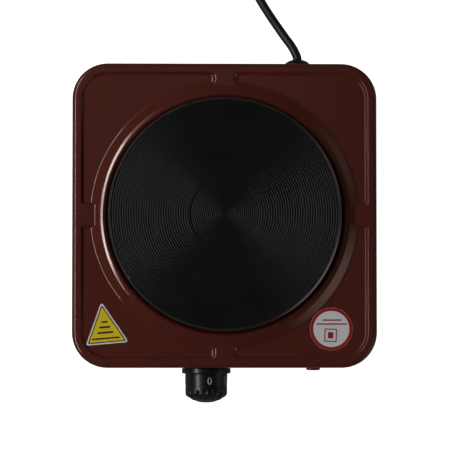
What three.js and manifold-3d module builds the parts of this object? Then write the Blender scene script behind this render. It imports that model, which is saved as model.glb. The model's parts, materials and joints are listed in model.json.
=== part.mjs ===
// A single electric hot plate: a pressed steel housing, a cast iron cooking plate with its heating coil,
// a thermostat with a turning knob, an indicator lamp and a coiled mains lead with its plug.
// Units are millimetres. +Z is up, -Y is the front, where the knob is, and the floor is z = 0.

import * as THREE from "three";
import { mergeVertices } from "three/addons/utils/BufferGeometryUtils.js";
import Module from "manifold-3d";

const wasm = await Module();
wasm.setup();

// ---------------------------------------------------------------- driving dimensions

const GAP = 0.3; // clearance between neighbouring pieces
const SHEET = 0.8; // thickness of the sheet steel

const HOUSING = { half: 120, corner: 28, bend: 4, low: 12, high: 62 };
const RECESS = { half: 110.3, corner: 16, slope: 3.2, depth: 2.2 };
const BRIDGE = { sideWidth: 14.6, endWidth: 14 };
const COLLAR = { foot: 105.6, crest: 97.7, rise: 5.9, land: 94.5, opening: 92.9, seat: 60.6, hole: 84 };
const TAB = { size: 26, low: HOUSING.low + SHEET + GAP, thickness: 1.2 };

const PLATE = {
  radius: 91.8,
  top: 72,
  rimHeight: 60.9,
  centreDisc: 27,
  skirt: 82.2,
  skirtLow: 54,
  rearward: 0.6,
};
const CHANNEL = { inner: 16, outer: 79.7, roof: 65.8 };
const COIL_WIRE = { radius: 2.5, height: 63.3, innerRadius: 26, outerRadius: 74, turns: 2.5 };
const FILLER = { low: 56.8, high: 63 };
const PIN = { radius: 1.5, low: 38, high: 60.5 };
const STUD = { radius: 3, low: 30, high: 67.5 };
const CLAMP_BAR = { width: 25, thickness: 2, centreLow: 43, legInside: 83, footInside: 85.5, reach: 91.4 };

const FOOT = { radius: 11, height: HOUSING.low - GAP, fromCentre: 97, screwHole: 2.2, pocket: 5.5 };
const VENT = { length: 34, width: 2, rows: 6, spacing: 14 };

const KNOB = { x: -14, z: 35, skirt: 19, skirtDepth: 4.4, body: 16.5, reach: 27.8, backGap: 1.2, flutes: 16 };
const SPINDLE = { radius: 3, outerEnd: 20, innerEnd: -13 };
const THERMOSTAT = { width: 22, height: 26, front: -2.6, back: -20.6, screwSpacing: 14 };
const LAMP = { x: 71, z: 35, radius: 5.6, reach: 2.2, neck: 4.5 };

const CORD = { radius: 3.5, x: 59, z: 30 };
const GROMMET = { reach: 6, flange: 10.1, neck: 7, bore: CORD.radius + GAP };
const COIL = { x: 46.8, y: 241.2, middle: 39.9, low: 1.1, height: 14, tieAngle: 150 };
const PLUG = {
  x: 92,
  y: 284.6,
  z: 18.9,
  radius: 18.5,
  face: 57,
  pinSpacing: 9.5,
  pinRadius: 2.4,
  pinLength: 19,
};

const WARNING_LABEL = { corners: [[-96.9, -68], [-109.1, -102.6], [-75.2, -99.6]], round: 1.8 };
const ROUND_LABEL = { x: 83.9, y: -89.4, radius: 16.8 };
const LABEL = { thickness: 0.25, lift: 0.05 };

// The housing's centre lies behind the origin, so that the knob and the grommet reach equally far from it.
const HOUSING_Y = (KNOB.reach - GROMMET.reach) / 2;
const RECESS_FLOOR = HOUSING.high - RECESS.depth;

const LOOKS = {
  brownPaint: { color: 0x3b1a15, roughness: 0.35, metalness: 0.1 },
  castIron: { color: 0x161616, roughness: 0.6, metalness: 0.5 },
  blackPlastic: { color: 0x0d0d0d, roughness: 0.25, metalness: 0 },
  rubber: { color: 0x1a1a1a, roughness: 0.8, metalness: 0 },
  zincSteel: { color: 0xa8aaad, roughness: 0.4, metalness: 0.9 },
  nichrome: { color: 0x6b665f, roughness: 0.5, metalness: 0.9 },
  ceramic: { color: 0xe6e0d2, roughness: 0.7, metalness: 0 },
  brass: { color: 0xb08d3f, roughness: 0.35, metalness: 0.9 },
  nickel: { color: 0xc8c5bd, roughness: 0.25, metalness: 1 },
  redLens: { color: 0xb3121a, roughness: 0.15, metalness: 0 },
  glass: { color: 0xd9d4cc, roughness: 0.1, metalness: 0 },
  cordSheath: { color: 0x101010, roughness: 0.35, metalness: 0 },
  brownWire: { color: 0x5a3018, roughness: 0.5, metalness: 0 },
  blueWire: { color: 0x1f4fa0, roughness: 0.5, metalness: 0 },
  earthWire: { color: 0x8fae2a, roughness: 0.5, metalness: 0 },
  yellowLabel: { color: 0xe8c81e, roughness: 0.4, metalness: 0 },
  whiteLabel: { color: 0xe9e9e9, roughness: 0.4, metalness: 0 },
};

// ---------------------------------------------------------------- helpers

// A closed three.js geometry as a solid that can be joined and cut.
function solid(geometry) {
  const bare = geometry.clone();
  bare.deleteAttribute("normal");
  bare.deleteAttribute("uv");
  const merged = mergeVertices(bare, 1e-3);
  const corners = merged.index.array;
  const triVerts = [];
  for (let i = 0; i < corners.length; i += 3) {
    const [a, b, c] = corners.slice(i, i + 3);
    if (a !== b && b !== c && c !== a) triVerts.push(a, b, c);
  }
  const vertProperties = new Float32Array(merged.attributes.position.array);
  const mesh = new wasm.Mesh({ numProp: 3, vertProperties, triVerts: new Uint32Array(triVerts) });
  return new wasm.Manifold(mesh);
}

// A solid as a three.js geometry.
function geometryOf(shape) {
  const { vertProperties, triVerts } = shape.getMesh();
  const geometry = new THREE.BufferGeometry();
  geometry.setAttribute("position", new THREE.BufferAttribute(vertProperties, 3));
  geometry.setIndex(new THREE.BufferAttribute(triVerts, 1));
  geometry.computeVertexNormals();
  return geometry;
}

function add(group, name, shape, look) {
  const mesh = new THREE.Mesh(geometryOf(shape), new THREE.MeshStandardMaterial(LOOKS[look]));
  mesh.name = name;
  group.add(mesh);
  return mesh;
}

// A solid turned about the Z axis from [radius, height] pairs, up its outside.
function turned(profile, segments = 24) {
  const points = profile.map(([radius, height]) => new THREE.Vector2(radius, height));
  return solid(new THREE.LatheGeometry(points, segments).rotateX(Math.PI / 2));
}

function rod(radius, low, high, segments = 16) {
  return turned([[0, low], [radius, low], [radius, high], [0, high]], segments);
}

function ring(inner, outer, low, high, segments = 24) {
  return turned([[inner, low], [outer, low], [outer, high], [inner, high], [inner, low]], segments);
}

// A box centred on x and y, standing on height z.
function block(width, depth, height, x, y, z) {
  return solid(new THREE.BoxGeometry(width, depth, height).translate(x, y, z + height / 2));
}

function prism(outline, low, high, curveSegments = 5) {
  const options = { depth: high - low, bevelEnabled: false, curveSegments };
  const geometry = new THREE.ExtrudeGeometry(outline, options);
  return solid(geometry.translate(0, 0, low));
}

function roundedSquare(half, radius) {
  const straight = half - radius;
  const outline = new THREE.Shape();
  outline.absarc(straight, straight, radius, 0, 0.5 * Math.PI);
  outline.absarc(-straight, straight, radius, 0.5 * Math.PI, Math.PI);
  outline.absarc(-straight, -straight, radius, Math.PI, 1.5 * Math.PI);
  outline.absarc(straight, -straight, radius, 1.5 * Math.PI, 2 * Math.PI);
  return outline;
}

function polygon(points) {
  return new THREE.Shape(points.map(([x, y]) => new THREE.Vector2(x, y)));
}

function circle(radius, sides) {
  const points = Array.from({ length: sides }, (_, i) => {
    const angle = (2 * Math.PI * i) / sides;
    return [radius * Math.cos(angle), radius * Math.sin(angle)];
  });
  return polygon(points);
}

// A round solid of constant radius along a curve.
function alongCurve(curve, radius, sides, steps) {
  const options = { steps, bevelEnabled: false, extrudePath: curve };
  return solid(new THREE.ExtrudeGeometry(circle(radius, sides), options));
}

function alongPoints(points, radius, sides, steps) {
  const curve = new THREE.CatmullRomCurve3(points.map((point) => new THREE.Vector3(...point)));
  return alongCurve(curve, radius, sides, steps);
}

function hexagon(acrossFlats, hole, low, high) {
  const outline = circle(acrossFlats / Math.sqrt(3), 6);
  return prism(outline, low, high).subtract(rod(hole, low - 1, high + 1));
}

function union(shapes) {
  return shapes.reduce((whole, shape) => whole.add(shape));
}

// A group at a wall, whose own +Z points straight out of that wall.
function wallGroup(parent, x, z, front) {
  const group = new THREE.Group();
  group.position.set(x, front ? -HOUSING.half : HOUSING.half, z);
  group.rotation.x = front ? Math.PI / 2 : -Math.PI / 2;
  parent.add(group);
  return group;
}

// ---------------------------------------------------------------- housing

// A block with a rounded-square outline, whose top edge is bent to a radius.
function pan(half, corner, bend, low, high) {
  const outline = roundedSquare(half - bend, corner - bend);
  const bevel = { bevelThickness: bend, bevelSize: bend, bevelSegments: 2 };
  const options = { depth: high - low - bend, curveSegments: 4, ...bevel };
  const geometry = new THREE.ExtrudeGeometry(outline, options);
  const below = block(2 * half + 10, 2 * half + 10, bend + 1, 0, 0, low - bend - 1);
  return solid(geometry.translate(0, 0, low)).subtract(below);
}

// A long bar with sloping sides, which runs along X.
function bridge(topWidth) {
  const { depth, slope } = RECESS;
  const foot = topWidth / 2 + slope;
  const outline = polygon([[-foot, -depth], [foot, -depth], [topWidth / 2, 0], [-topWidth / 2, 0]]);
  const length = 2 * HOUSING.half + 20;
  const geometry = new THREE.ExtrudeGeometry(outline, { depth: length, bevelEnabled: false });
  const axes = [new THREE.Vector3(0, 1, 0), new THREE.Vector3(0, 0, 1), new THREE.Vector3(1, 0, 0)];
  geometry.applyMatrix4(new THREE.Matrix4().makeBasis(...axes));
  return solid(geometry.translate(-length / 2, 0, HOUSING.high));
}

// What the recessed corner panels take away: a sloping rounded square, less the cross of bridges.
function recess(grow) {
  const { half, corner, slope, depth } = RECESS;
  const bevel = { bevelThickness: depth, bevelSize: slope, bevelSegments: 1 };
  const outline = roundedSquare(half + grow, corner + grow);
  const geometry = new THREE.ExtrudeGeometry(outline, { depth: 5, curveSegments: 4, ...bevel });
  const cutter = solid(geometry.translate(0, 0, HOUSING.high));
  const sideBridge = bridge(BRIDGE.sideWidth - 2 * grow);
  const endBridge = bridge(BRIDGE.endWidth - 2 * grow).rotate([0, 0, 90]);
  return cutter.subtract(sideBridge).subtract(endBridge);
}

// The raised ring round the plate, with the wall and the seat that the plate's rim rests on.
function collar() {
  const { foot, crest, rise, land, opening, seat, hole } = COLLAR;
  const top = RECESS_FLOOR + rise;
  const profile = [
    [hole, seat - SHEET],
    [opening + SHEET, seat - SHEET],
    [opening + SHEET, top - 2.1],
    [land, top - 1.5],
    [crest, top - SHEET],
    [crest + 1.6, top - 1.4],
    [foot - 0.8, RECESS_FLOOR - SHEET],
    [foot, RECESS_FLOOR - SHEET],
    [foot, RECESS_FLOOR],
    [crest + 2.2, top - 0.7],
    [crest, top],
    [land, top - 0.6],
    [opening, top - 1.6],
    [opening, seat],
    [hole, seat],
    [hole, seat - SHEET],
  ];
  return turned(profile, 44);
}

function cornerTabs() {
  const place = HOUSING.half - TAB.size / 2 - SHEET / 2;
  const tabs = [[-1, -1], [1, -1], [1, 1], [-1, 1]].map(([sx, sy]) =>
    block(TAB.size, TAB.size, TAB.thickness, sx * place, sy * place, TAB.low),
  );
  const { half, corner } = HOUSING;
  const inside = prism(roundedSquare(half - SHEET / 2, corner - SHEET / 2), TAB.low - 1, TAB.low + 3);
  return union(tabs).intersect(inside);
}

function footPlaces() {
  const d = FOOT.fromCentre;
  return { front_left: [-d, -d], front_right: [d, -d], rear_left: [-d, d], rear_right: [d, d] };
}

// A hole through the front or rear wall.
function wallHole(x, z, radius, front) {
  const y = front ? -HOUSING.half : HOUSING.half;
  return rod(radius, -3, 3).rotate([90, 0, 0]).translate([x, y, z]);
}

function housing() {
  const { half, corner, bend, low, high } = HOUSING;
  const outside = pan(half, corner, bend, low, high).subtract(recess(0));
  const cavity = pan(half - SHEET, corner - SHEET, bend - SHEET, low - 2, high - SHEET);
  const inside = cavity.subtract(recess(SHEET).translate([0, 0, -SHEET]));
  const skin = outside.subtract(inside).subtract(rod(COLLAR.foot - 3.2, low, high + 5, 44));
  const holes = [
    wallHole(KNOB.x, KNOB.z, 4, true),
    wallHole(KNOB.x - THERMOSTAT.screwSpacing, KNOB.z, 2.2, true),
    wallHole(KNOB.x + THERMOSTAT.screwSpacing, KNOB.z, 2.2, true),
    wallHole(LAMP.x, LAMP.z, LAMP.neck + GAP, true),
    wallHole(CORD.x, CORD.z, GROMMET.neck + GAP, false),
    ...Object.values(footPlaces()).map(([x, y]) => rod(2.05, low, low + 5, 8).translate([x, y, 0])),
  ];
  return skin.add(collar()).add(cornerTabs()).subtract(union(holes));
}

function basePlate() {
  const { half, corner, low } = HOUSING;
  const edge = SHEET + GAP;
  const sheet = prism(roundedSquare(half - edge, corner - edge), low, low + SHEET);
  const screwHoles = Object.values(footPlaces()).map(([x, y]) =>
    rod(2.2, low - 1, low + 3, 8).translate([x, y, 0]),
  );
  const earthHole = rod(2.3, low - 1, low + 3, 12).translate([78, 60, 0]);
  const slots = [];
  for (let row = 0; row < VENT.rows; row += 1) {
    const y = (row - (VENT.rows - 1) / 2) * VENT.spacing;
    for (const x of [-45, 0, 45]) slots.push(block(VENT.length, VENT.width, 4, x, y, low - 1));
  }
  return sheet.subtract(union([...screwHoles, ...slots, earthHole]));
}

function foot() {
  const { radius, height, screwHole, pocket } = FOOT;
  const profile = [
    [pocket, 0],
    [radius - 1.5, 0],
    [radius - 0.6, 1.2],
    [radius, height],
    [screwHole, height],
    [screwHole, 5.5],
    [pocket, 5.5],
    [pocket, 0],
  ];
  return turned(profile, 14);
}

function footScrew() {
  const shank = 1.75;
  return turned([[0, 3.4], [3, 3.4], [4.2, 4.2], [4.2, 5.2], [shank, 5.2], [shank, 18], [0, 18.8]], 8);
}

function addHousing(group) {
  add(group, "top_housing", housing(), "brownPaint");
  add(group, "base_plate", basePlate(), "zincSteel");
  for (const [corner, [x, y]] of Object.entries(footPlaces())) {
    add(group, `foot_${corner}`, foot(), "rubber").position.set(x, y, 0);
    add(group, `foot_screw_${corner}`, footScrew(), "zincSteel").position.set(x, y, 0);
  }
}

// ---------------------------------------------------------------- cooking plate and heating coil

class FlatSpiral extends THREE.Curve {
  constructor(innerRadius, outerRadius, turns, height) {
    super();
    Object.assign(this, { innerRadius, outerRadius, turns, height });
  }

  // The spiral starts at the front and ends at the rear.
  getPoint(t, target = new THREE.Vector3()) {
    const radius = this.innerRadius + (this.outerRadius - this.innerRadius) * t;
    const angle = -Math.PI / 2 + 2 * Math.PI * this.turns * t;
    return target.set(radius * Math.cos(angle), radius * Math.sin(angle), this.height);
  }
}

function spiral(radius, sides) {
  const { innerRadius, outerRadius, turns, height } = COIL_WIRE;
  return alongCurve(new FlatSpiral(innerRadius, outerRadius, turns, height), radius, sides, 40);
}

// Places, from the plate's centre, where the two ends of the heating coil come out downwards.
const COIL_ENDS = { inner: [0, -COIL_WIRE.innerRadius], outer: [0, COIL_WIRE.outerRadius] };

function hotPlate() {
  const { radius, top, rimHeight, centreDisc, skirt, skirtLow } = PLATE;
  const { inner, outer, roof } = CHANNEL;
  const hole = STUD.radius + GAP;
  const profile = [
    [0, STUD.high + GAP],
    [hole, STUD.high + GAP],
    [hole, FILLER.low],
    [inner, FILLER.low],
    [inner, roof],
    [outer + GAP, roof],
    [outer + GAP, skirtLow],
    [skirt, skirtLow],
    [skirt, rimHeight],
    [radius, rimHeight],
    [radius, top - 2.2],
    [radius - 0.4, top - 1],
    [radius - 1.2, top - 0.3],
    [radius - 3, top],
    [centreDisc + 0.4, top],
    [centreDisc, top - 0.5],
    [0, top - 0.5],
  ];
  return turned(profile, 44);
}

function filler() {
  const body = ring(CHANNEL.inner + GAP, CHANNEL.outer, FILLER.low, FILLER.high, 32);
  const pinHoles = Object.values(COIL_ENDS).map(([x, y]) => rod(2.1, 50, 65, 10).translate([x, y, 0]));
  return body.subtract(spiral(COIL_WIRE.radius + GAP, 6)).subtract(union(pinHoles));
}

function elementCover() {
  const high = FILLER.low - GAP;
  const sheet = ring(STUD.radius + GAP, CHANNEL.outer, high - SHEET, high, 32);
  const pinHoles = Object.values(COIL_ENDS).map(([x, y]) => rod(2.6, 50, 60, 10).translate([x, y, 0]));
  return sheet.subtract(union(pinHoles));
}

// The spring steel bar under the plate: flat in the middle, with feet against the housing's seat.
function clampBar() {
  const { width, thickness, centreLow, legInside, footInside, reach } = CLAMP_BAR;
  const footHigh = COLLAR.seat - SHEET - GAP;
  const right = [
    [legInside, centreLow],
    [footInside + thickness, footHigh - thickness],
    [reach, footHigh - thickness],
    [reach, footHigh],
    [footInside, footHigh],
    [legInside - thickness, centreLow + thickness],
  ];
  const left = right.map(([x, z]) => [-x, z]).reverse();
  const bar = prism(polygon([...right, ...left]), -width / 2, width / 2).rotate([90, 0, 0]);
  return bar.subtract(rod(STUD.radius + GAP, centreLow - 1, centreLow + 4));
}

function addCookingPlate(parent) {
  const group = new THREE.Group();
  group.position.y = PLATE.rearward;
  parent.add(group);
  const coverLow = FILLER.low - GAP - SHEET;
  const nutHole = STUD.radius + GAP;
  const washerHigh = CLAMP_BAR.centreLow - GAP;
  add(group, "hot_plate", hotPlate(), "castIron");
  add(group, "heating_coil", spiral(COIL_WIRE.radius, 6), "nichrome");
  add(group, "insulating_filler", filler(), "ceramic");
  add(group, "element_cover", elementCover(), "zincSteel");
  add(group, "centre_stud", rod(STUD.radius, STUD.low, STUD.high, 12), "zincSteel");
  add(group, "cover_nut", hexagon(10, nutHole, coverLow - GAP - 5, coverLow - GAP), "zincSteel");
  add(group, "clamp_bar", clampBar(), "zincSteel");
  add(group, "stud_washer", ring(nutHole, 8, washerHigh - 1.6, washerHigh, 16), "zincSteel");
  add(group, "stud_nut", hexagon(10, nutHole, washerHigh - 1.9 - 5, washerHigh - 1.9), "zincSteel");
  for (const [end, [x, y]] of Object.entries(COIL_ENDS)) {
    add(group, `terminal_pin_${end}`, rod(PIN.radius, PIN.low, PIN.high, 10), "nickel").position.set(x, y, 0);
    const bush = ring(PIN.radius + GAP, 5, coverLow - GAP - 8, coverLow - GAP, 14);
    add(group, `ceramic_bush_${end}`, bush, "ceramic").position.set(x, y, 0);
  }
}

// ---------------------------------------------------------------- knob and thermostat

// In these groups heights run outwards from the front wall's outer face, and inwards is negative.

function knob() {
  const { skirt, skirtDepth, body, reach, backGap, flutes } = KNOB;
  const bore = 4.4;
  const profile = [
    [bore, backGap + 1],
    [8, backGap + 1],
    [8, backGap + 12],
    [body - 2.4, backGap + 12],
    [body - 2.4, backGap + 2.2],
    [skirt - 1.4, backGap + 1.4],
    [skirt - 1.4, backGap],
    [skirt, backGap],
    [skirt, skirtDepth - 0.6],
    [skirt - 0.6, skirtDepth],
    [body - 0.2, skirtDepth + 0.4],
    [body, reach - 5.4],
    [body - 1.4, reach - 4.3],
    [body - 4.6, reach - 2.8],
    [body - 8.6, reach - 1.2],
    [0, reach],
    [0, SPINDLE.outerEnd + 1],
    [bore, SPINDLE.outerEnd + 1],
    [bore, backGap + 1],
  ];
  const grooves = [];
  for (let i = 0; i < flutes; i += 1) {
    const groove = rod(1.5, 0, 15, 6).rotate([0, -5, 0]).translate([body + 1.4, 0, reach - 13]);
    grooves.push(groove.rotate([0, 0, ((i + 0.5) * 360) / flutes]));
  }
  return turned(profile, 32).subtract(union(grooves));
}

// A split spring sleeve between the knob's bore and the spindle.
function springSleeve() {
  const sleeve = ring(SPINDLE.radius + GAP, 4.1, KNOB.backGap + 3, SPINDLE.outerEnd - 4, 16);
  return sleeve.subtract(block(8, 2, 40, 4, 0, 0));
}

// A round spindle with a flat cut on its outer end.
function spindle() {
  const { radius, outerEnd, innerEnd } = SPINDLE;
  return rod(radius, innerEnd, outerEnd, 16).subtract(block(10, 2, 14, 0, radius, outerEnd - 12));
}

function thermostatScrew() {
  return turned([[0, -6], [1.9, -6], [1.9, GAP], [3.1, GAP], [2.9, 1.6], [1.5, 2], [0, 2]], 12);
}

function thermostatBracket() {
  const back = -SHEET - GAP - 1.2;
  const plate = block(38, 22, 1.2, 0, 0, back);
  const holes = [rod(SPINDLE.radius + GAP, back - 1, 0)];
  for (const side of [-1, 1]) {
    holes.push(rod(2.2, back - 1, 0, 12).translate([side * THERMOSTAT.screwSpacing, 0, 0]));
  }
  return plate.subtract(union(holes));
}

function thermostatBody() {
  const { width, height, front, back } = THERMOSTAT;
  const bore = rod(SPINDLE.radius + GAP, SPINDLE.innerEnd - 0.6, 0).add(rod(1.9, back - 1, 0, 12));
  return block(width, height, front - back, 0, 0, back).subtract(bore);
}

function addKnobAndThermostat(parent) {
  const group = wallGroup(parent, KNOB.x, KNOB.z, true);
  const { back, screwSpacing } = THERMOSTAT;
  add(group, "knob", knob(), "blackPlastic");
  add(group, "knob_spring_sleeve", springSleeve(), "zincSteel");
  add(group, "thermostat_spindle", spindle(), "zincSteel");
  add(group, "thermostat_bracket", thermostatBracket(), "zincSteel");
  add(group, "thermostat_body", thermostatBody(), "ceramic");
  add(group, "thermostat_screw_left", thermostatScrew(), "zincSteel").position.x = -screwSpacing;
  add(group, "thermostat_screw_right", thermostatScrew(), "zincSteel").position.x = screwSpacing;
  add(group, "adjusting_pin", rod(1.6, back - 2.1, SPINDLE.innerEnd - GAP, 12), "ceramic");
  add(group, "contact_spacer", block(8, 6, 2.4, 0, -9.5, back - 2.7), "ceramic");
  add(group, "contact_blade", block(6, 24, 0.4, 0, -0.5, back - 3.4), "brass");
  add(group, "bimetal_strip", block(7, 30, 0.8, 0, -1, back - 6.4), "nickel");
  add(group, "contact_screw", rod(1.4, back - 8, back - 6.7, 10).translate([0, -9.5, 0]), "brass");
}

// ---------------------------------------------------------------- indicator lamp

function lampLens() {
  const { radius, reach, neck } = LAMP;
  const profile = [
    [3.2, -11],
    [neck, -11],
    [neck, GAP],
    [radius, GAP],
    [radius, reach - 1],
    [radius - 0.6, reach - 0.4],
    [radius - 2.6, reach - 0.1],
    [0, reach],
    [0, reach - 1.6],
    [3.2, reach - 2.4],
    [3.2, -11],
  ];
  return turned(profile, 20);
}

function addLamp(parent) {
  const group = wallGroup(parent, LAMP.x, LAMP.z, true);
  const bulb = [[0, -16], [1.6, -16], [2.7, -14], [2.7, -3.4], [1.8, -1.4], [0, -0.8]];
  add(group, "lamp_lens", lampLens(), "redLens");
  add(group, "lamp_retainer", ring(LAMP.neck + GAP, 8, -2.1, -1.1, 16), "zincSteel");
  add(group, "neon_bulb", turned(bulb, 12), "glass");
}

// ---------------------------------------------------------------- mains lead

// The strain relief bush: a domed flange outside, a neck through the wall and a long taper inside.
function grommet() {
  const { reach, flange, neck, bore } = GROMMET;
  const profile = [
    [bore, -20],
    [5.2, -20],
    [6.6, -6],
    [8.2, -3.4],
    [8.2, -1.1],
    [neck, -1.1],
    [neck, GAP],
    [flange, GAP],
    [flange, 2.6],
    [flange - 1.2, 4.2],
    [flange - 3.4, 5.2],
    [bore + 0.6, reach],
    [bore, reach],
    [bore, -20],
  ];
  return turned(profile, 18);
}

// The lead from the bush to the coil: out backwards and to the left, and down to the floor.
const LEAD_ROUTE = [
  [59, 126.4, 30],
  [58.3, 129.8, 29.8],
  [54.9, 136.2, 28.5],
  [49.4, 144.6, 25.4],
  [42, 156.5, 19.4],
  [35, 168.2, 13],
  [29.2, 178.8, 8],
  [25, 187.4, 5],
  [20.8, 196.2, 4],
];

// The lead from the coil to the plug.
const TAIL_ROUTE = [
  [73.8, 284.6, 14.6],
  [78.6, 284.6, 16.4],
  [85, 284.6, 18.1],
  [91.7, 284.6, 18.8],
];

function coil() {
  const half = COIL.height / 2;
  const inner = COIL.middle - half;
  const outer = COIL.middle + half;
  const round = 2.2;
  const profile = [
    [inner + round, 0],
    [outer - round, 0],
    [outer, round],
    [outer, COIL.height - round],
    [outer - round, COIL.height],
    [inner + round, COIL.height],
    [inner, COIL.height - round],
    [inner, round],
    [inner + round, 0],
  ];
  return turned(profile, 28);
}

// A flat band round the section of the coil, with its outer side standing clear of the coil's curve.
function cordTie() {
  const { height, low, middle, tieAngle } = COIL;
  const across = height + 2.4;
  const inside = block(across, 20, height + 2 * GAP, 0.2, 0, low - GAP);
  const thickness = low - GAP - 0.05;
  const tall = height + 2 * GAP + 2 * thickness;
  const band = block(across + 2 * thickness, 6, tall, 0.2, 0, low - GAP - thickness);
  return band.subtract(inside).translate([middle, 0, 0]).rotate([0, 0, tieAngle]);
}

// The plug lies along its own +Z, with its cable end at zero and its pins at the far end.
function plugBody() {
  const { radius, face } = PLUG;
  const bore = CORD.radius + GAP;
  const profile = [
    [0, 6],
    [bore, 6],
    [bore, 0],
    [5, 0],
    [6.6, 20],
    [10.5, 24],
    [11.6, 34],
    [radius - 1, 42],
    [radius, 44],
    [radius, face - 1],
    [radius - 1, face],
    [0, face],
  ];
  const notches = [-1, 1].map((side) => block(4, 6, 20, side * (radius - 1), 0, 43));
  const pinHoles = [-1, 1].map((side) =>
    rod(PLUG.pinRadius + GAP, 50, 60, 12).translate([0, side * PLUG.pinSpacing, 0]),
  );
  return turned(profile, 28).subtract(union([...notches, ...pinHoles]));
}

function addPlug(parent) {
  const group = new THREE.Group();
  group.position.set(PLUG.x, PLUG.y, PLUG.z);
  group.rotation.y = Math.PI / 2;
  parent.add(group);
  const { radius, pinRadius, pinLength, pinSpacing } = PLUG;
  const tip = PLUG.face + pinLength;
  const pin = turned([[0, 51], [pinRadius, 51], [pinRadius, tip - 1.2], [0.9, tip], [0, tip]], 12);
  add(group, "plug_body", plugBody(), "blackPlastic");
  for (const [name, side] of [["left", -1], ["right", 1]]) {
    add(group, `plug_pin_${name}`, pin, "nickel").position.y = side * pinSpacing;
  }
  for (const [name, side] of [["top", -1], ["bottom", 1]]) {
    add(group, `plug_earth_strip_${name}`, block(1, 5, 12, side * (radius - 2.2), 0, 44), "brass");
  }
}

function addMainsLead(parent) {
  const rear = wallGroup(parent, CORD.x, CORD.z, false);
  add(rear, "cord_grommet", grommet(), "blackPlastic");
  add(rear, "cord_inner_end", rod(CORD.radius, -28, GROMMET.reach - 2, 10), "cordSheath");
  add(parent, "power_cord", alongPoints(LEAD_ROUTE, CORD.radius, 10, 8), "cordSheath");
  add(parent, "cord_tail", alongPoints(TAIL_ROUTE, CORD.radius, 10, 3), "cordSheath");
  add(parent, "cord_coil", coil(), "cordSheath").position.set(COIL.x, COIL.y, COIL.low);
  add(parent, "cord_tie", cordTie(), "rubber").position.set(COIL.x, COIL.y, 0);
  addPlug(parent);
}

// ---------------------------------------------------------------- internal wiring

const WIRES = {
  wire_live: {
    look: "brownWire",
    radius: 1.3,
    steps: 14,
    route: [
      [61.2, 91.4, 31.4],
      [60.9, 86, 30],
      [56, 64, 19],
      [47, 0, 17],
      [22, -60, 17],
      [-6, -80, 20],
      [-13.4, -84, 25],
      [-14, -90.9, 25.5],
    ],
  },
  wire_switched: {
    look: "brownWire",
    radius: 1.3,
    steps: 10,
    route: [[-14, -92.6, 44], [-13.4, -86, 43], [-8, -62, 34], [-1, -38, 29], [0, -26, 30], [0, -24.5, 37.6]],
  },
  wire_neutral: {
    look: "blueWire",
    radius: 1.3,
    steps: 10,
    route: [[56.8, 91.4, 31.4], [56.1, 87.6, 31], [28, 86, 25], [6, 84, 24], [0, 78, 28], [0, 75.5, 37.6]],
  },
  wire_earth: {
    look: "earthWire",
    radius: 1.3,
    steps: 7,
    route: [[59, 91.4, 27.6], [59.9, 87, 25.6], [68, 77, 18], [74, 70.4, 15.9]],
  },
  wire_lamp_live: {
    look: "brownWire",
    radius: 1,
    steps: 9,
    route: [
      [69.8, -103.5, 35],
      [69, -100, 33],
      [56, -97, 26],
      [26, -97, 22],
      [5, -102, 27],
      [-2.4, -105, 30],
    ],
  },
  wire_lamp_neutral: {
    look: "blueWire",
    radius: 1,
    steps: 13,
    route: [
      [72.2, -103.5, 35],
      [72.8, -99, 33],
      [76, -60, 19],
      [78, 0, 18],
      [70, 40, 22],
      [52, 60, 30],
      [16, 74, 38],
      [2, 75.5, 40],
    ],
  },
};

function addWiring(group) {
  for (const [name, { look, radius, steps, route }] of Object.entries(WIRES)) {
    add(group, name, alongPoints(route, radius, 6, steps), look);
  }
  const top = HOUSING.low + SHEET;
  const screwProfile = [
    [0, top - 5],
    [1.9, top - 5],
    [1.9, top + 2.2],
    [3.6, top + 2.2],
    [3.4, top + 4],
    [0, top + 4.4],
  ];
  const screw = turned(screwProfile, 12);
  add(group, "earth_screw", screw, "brass").position.set(78, 60, 0);
  const lug = ring(2.2, 4, top + GAP, top + 1.3, 14).translate([78, 60, 0]);
  const tongue = block(4, 8, 1, 0, 0, top + GAP).rotate([0, 0, 22]).translate([76, 67, 0]);
  add(group, "earth_lug", lug.add(tongue.subtract(rod(3, 0, 20).translate([78, 60, 0]))), "brass");
}

// ---------------------------------------------------------------- labels

// A triangle whose corners are rounded.
function roundedTriangle(corners, round) {
  const points = corners.map(([x, y]) => new THREE.Vector2(x, y));
  const outline = new THREE.Shape();
  points.forEach((corner, i) => {
    const before = points[(i + 2) % 3].clone().sub(corner).setLength(round).add(corner);
    const after = points[(i + 1) % 3].clone().sub(corner).setLength(round).add(corner);
    if (i === 0) outline.moveTo(before.x, before.y);
    else outline.lineTo(before.x, before.y);
    outline.quadraticCurveTo(corner.x, corner.y, after.x, after.y);
  });
  return outline;
}

function addLabels(group) {
  const low = RECESS_FLOOR + LABEL.lift;
  const high = low + LABEL.thickness;
  const triangle = roundedTriangle(WARNING_LABEL.corners, WARNING_LABEL.round);
  add(group, "triangle_sticker", prism(triangle, low, high, 3), "yellowLabel");
  const { x, y, radius } = ROUND_LABEL;
  add(group, "round_sticker", rod(radius, low, high, 32).translate([x, y, 0]), "whiteLabel");
}

// ---------------------------------------------------------------- whole object

const hotPlateBurner = new THREE.Group();
hotPlateBurner.position.y = HOUSING_Y;
addHousing(hotPlateBurner);
addCookingPlate(hotPlateBurner);
addKnobAndThermostat(hotPlateBurner);
addLamp(hotPlateBurner);
addMainsLead(hotPlateBurner);
addWiring(hotPlateBurner);
addLabels(hotPlateBurner);

export default hotPlateBurner;
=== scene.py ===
import json
import math

import bpy
import numpy as np
from mathutils import Matrix, Vector


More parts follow.
